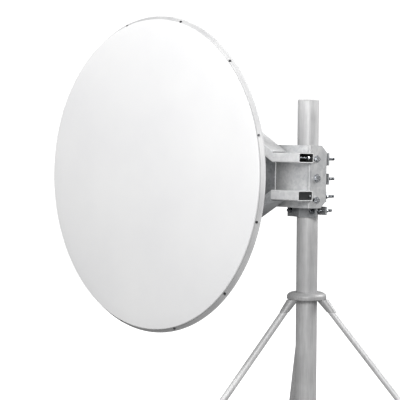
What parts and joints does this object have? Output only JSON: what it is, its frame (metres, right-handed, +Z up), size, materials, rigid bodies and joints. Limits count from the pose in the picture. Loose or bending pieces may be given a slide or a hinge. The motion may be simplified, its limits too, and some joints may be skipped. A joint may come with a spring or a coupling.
{
  "type": "parabolic dish antenna",
  "caption": "Round dish antenna with a flat radome, carried beside a tripod mast by a galvanised pipe clamp with tilt and swivel adjustment.",
  "frame": {"origin": "centre of the mast base plate's underside, on the mast's axis at ground level", "axes": "+Z up along the mast; the dish looks along -Y at rest and sits on the -X side of the mast"},
  "size_m": [1.8178, 1.4556, 2.0249],
  "materials": {
    "galvanised_pipe": "hot-dip galvanised steel pipe, dull light grey",
    "galvanised_steel": "hot-dip galvanised sheet and tube with a mottled zinc surface",
    "zinc_plated_steel": "bright zinc-plated fasteners",
    "white_enamel": "white powder-coated aluminium",
    "white_radome": "white moulded sheet with a soft satin surface",
    "black_plastic": "black moulded tube inserts",
    "grey_plastic": "light grey moulded pipe cap"
  },
  "bodies": {
    "stand": {"mast_pipe": "galvanised_pipe", "mast_cap": "grey_plastic", "mast_base_plate": "galvanised_steel", "leg_collar": "galvanised_pipe", "leg_front": "galvanised_pipe", "leg_right": "galvanised_pipe", "leg_left": "galvanised_pipe", "foot_plate_front": "galvanised_steel", "foot_plate_right": "galvanised_steel", "foot_plate_left": "galvanised_steel"},
    "mount_head": {"clamp_saddle": "galvanised_steel", "saddle_cheek_left": "galvanised_steel", "saddle_cheek_right": "galvanised_steel", "rear_jaw_upper": "galvanised_steel", "rear_jaw_middle": "galvanised_steel", "rear_jaw_inner": "galvanised_steel", "rear_jaw_lower": "galvanised_steel", "clamp_rod_upper_left": "zinc_plated_steel", "clamp_rod_upper_right": "zinc_plated_steel", "clamp_rod_middle_left": "zinc_plated_steel", "clamp_rod_middle_right": "zinc_plated_steel", "clamp_rod_inner_left": "zinc_plated_steel", "clamp_rod_inner_right": "zinc_plated_steel", "clamp_rod_lower_left": "zinc_plated_steel", "clamp_rod_lower_right": "zinc_plated_steel", "pivot_bolt_left": "zinc_plated_steel", "pivot_bolt_right": "zinc_plated_steel", "lock_bolt_upper_left": "zinc_plated_steel", "lock_bolt_upper_right": "zinc_plated_steel", "lock_bolt_lower_left": "zinc_plated_steel", "lock_bolt_lower_right": "zinc_plated_steel"},
    "antenna": {"elevation_bracket": "galvanised_steel", "gusset_plate": "galvanised_steel", "arm_upper": "galvanised_steel", "arm_lower": "galvanised_steel", "splay_upper": "galvanised_steel", "splay_lower": "galvanised_steel", "arm_plug_lower": "black_plastic", "adjusting_screw": "zinc_plated_steel", "standoff_upper_right": "galvanised_steel", "standoff_upper_left": "galvanised_steel", "standoff_lower_right": "galvanised_steel", "standoff_lower_left": "galvanised_steel", "back_pan": "white_enamel", "feed_boss": "white_enamel", "feed_port": "zinc_plated_steel", "reflector": "white_enamel", "rim_band": "white_enamel", "radome": "white_radome"}
  },
  "joints": [
    {"name": "azimuth", "type": "hinge", "parent": "stand", "child": "mount_head", "pos_m": [0, 0, 1.37], "axis": [0, 0, 1], "range_deg": [-180, 180]},
    {"name": "elevation", "type": "hinge", "parent": "mount_head", "child": "antenna", "pos_m": [0, -0.052, 1.37], "axis": [-1, 0, 0], "range_deg": [-11.2, 8.8]}
  ]
}
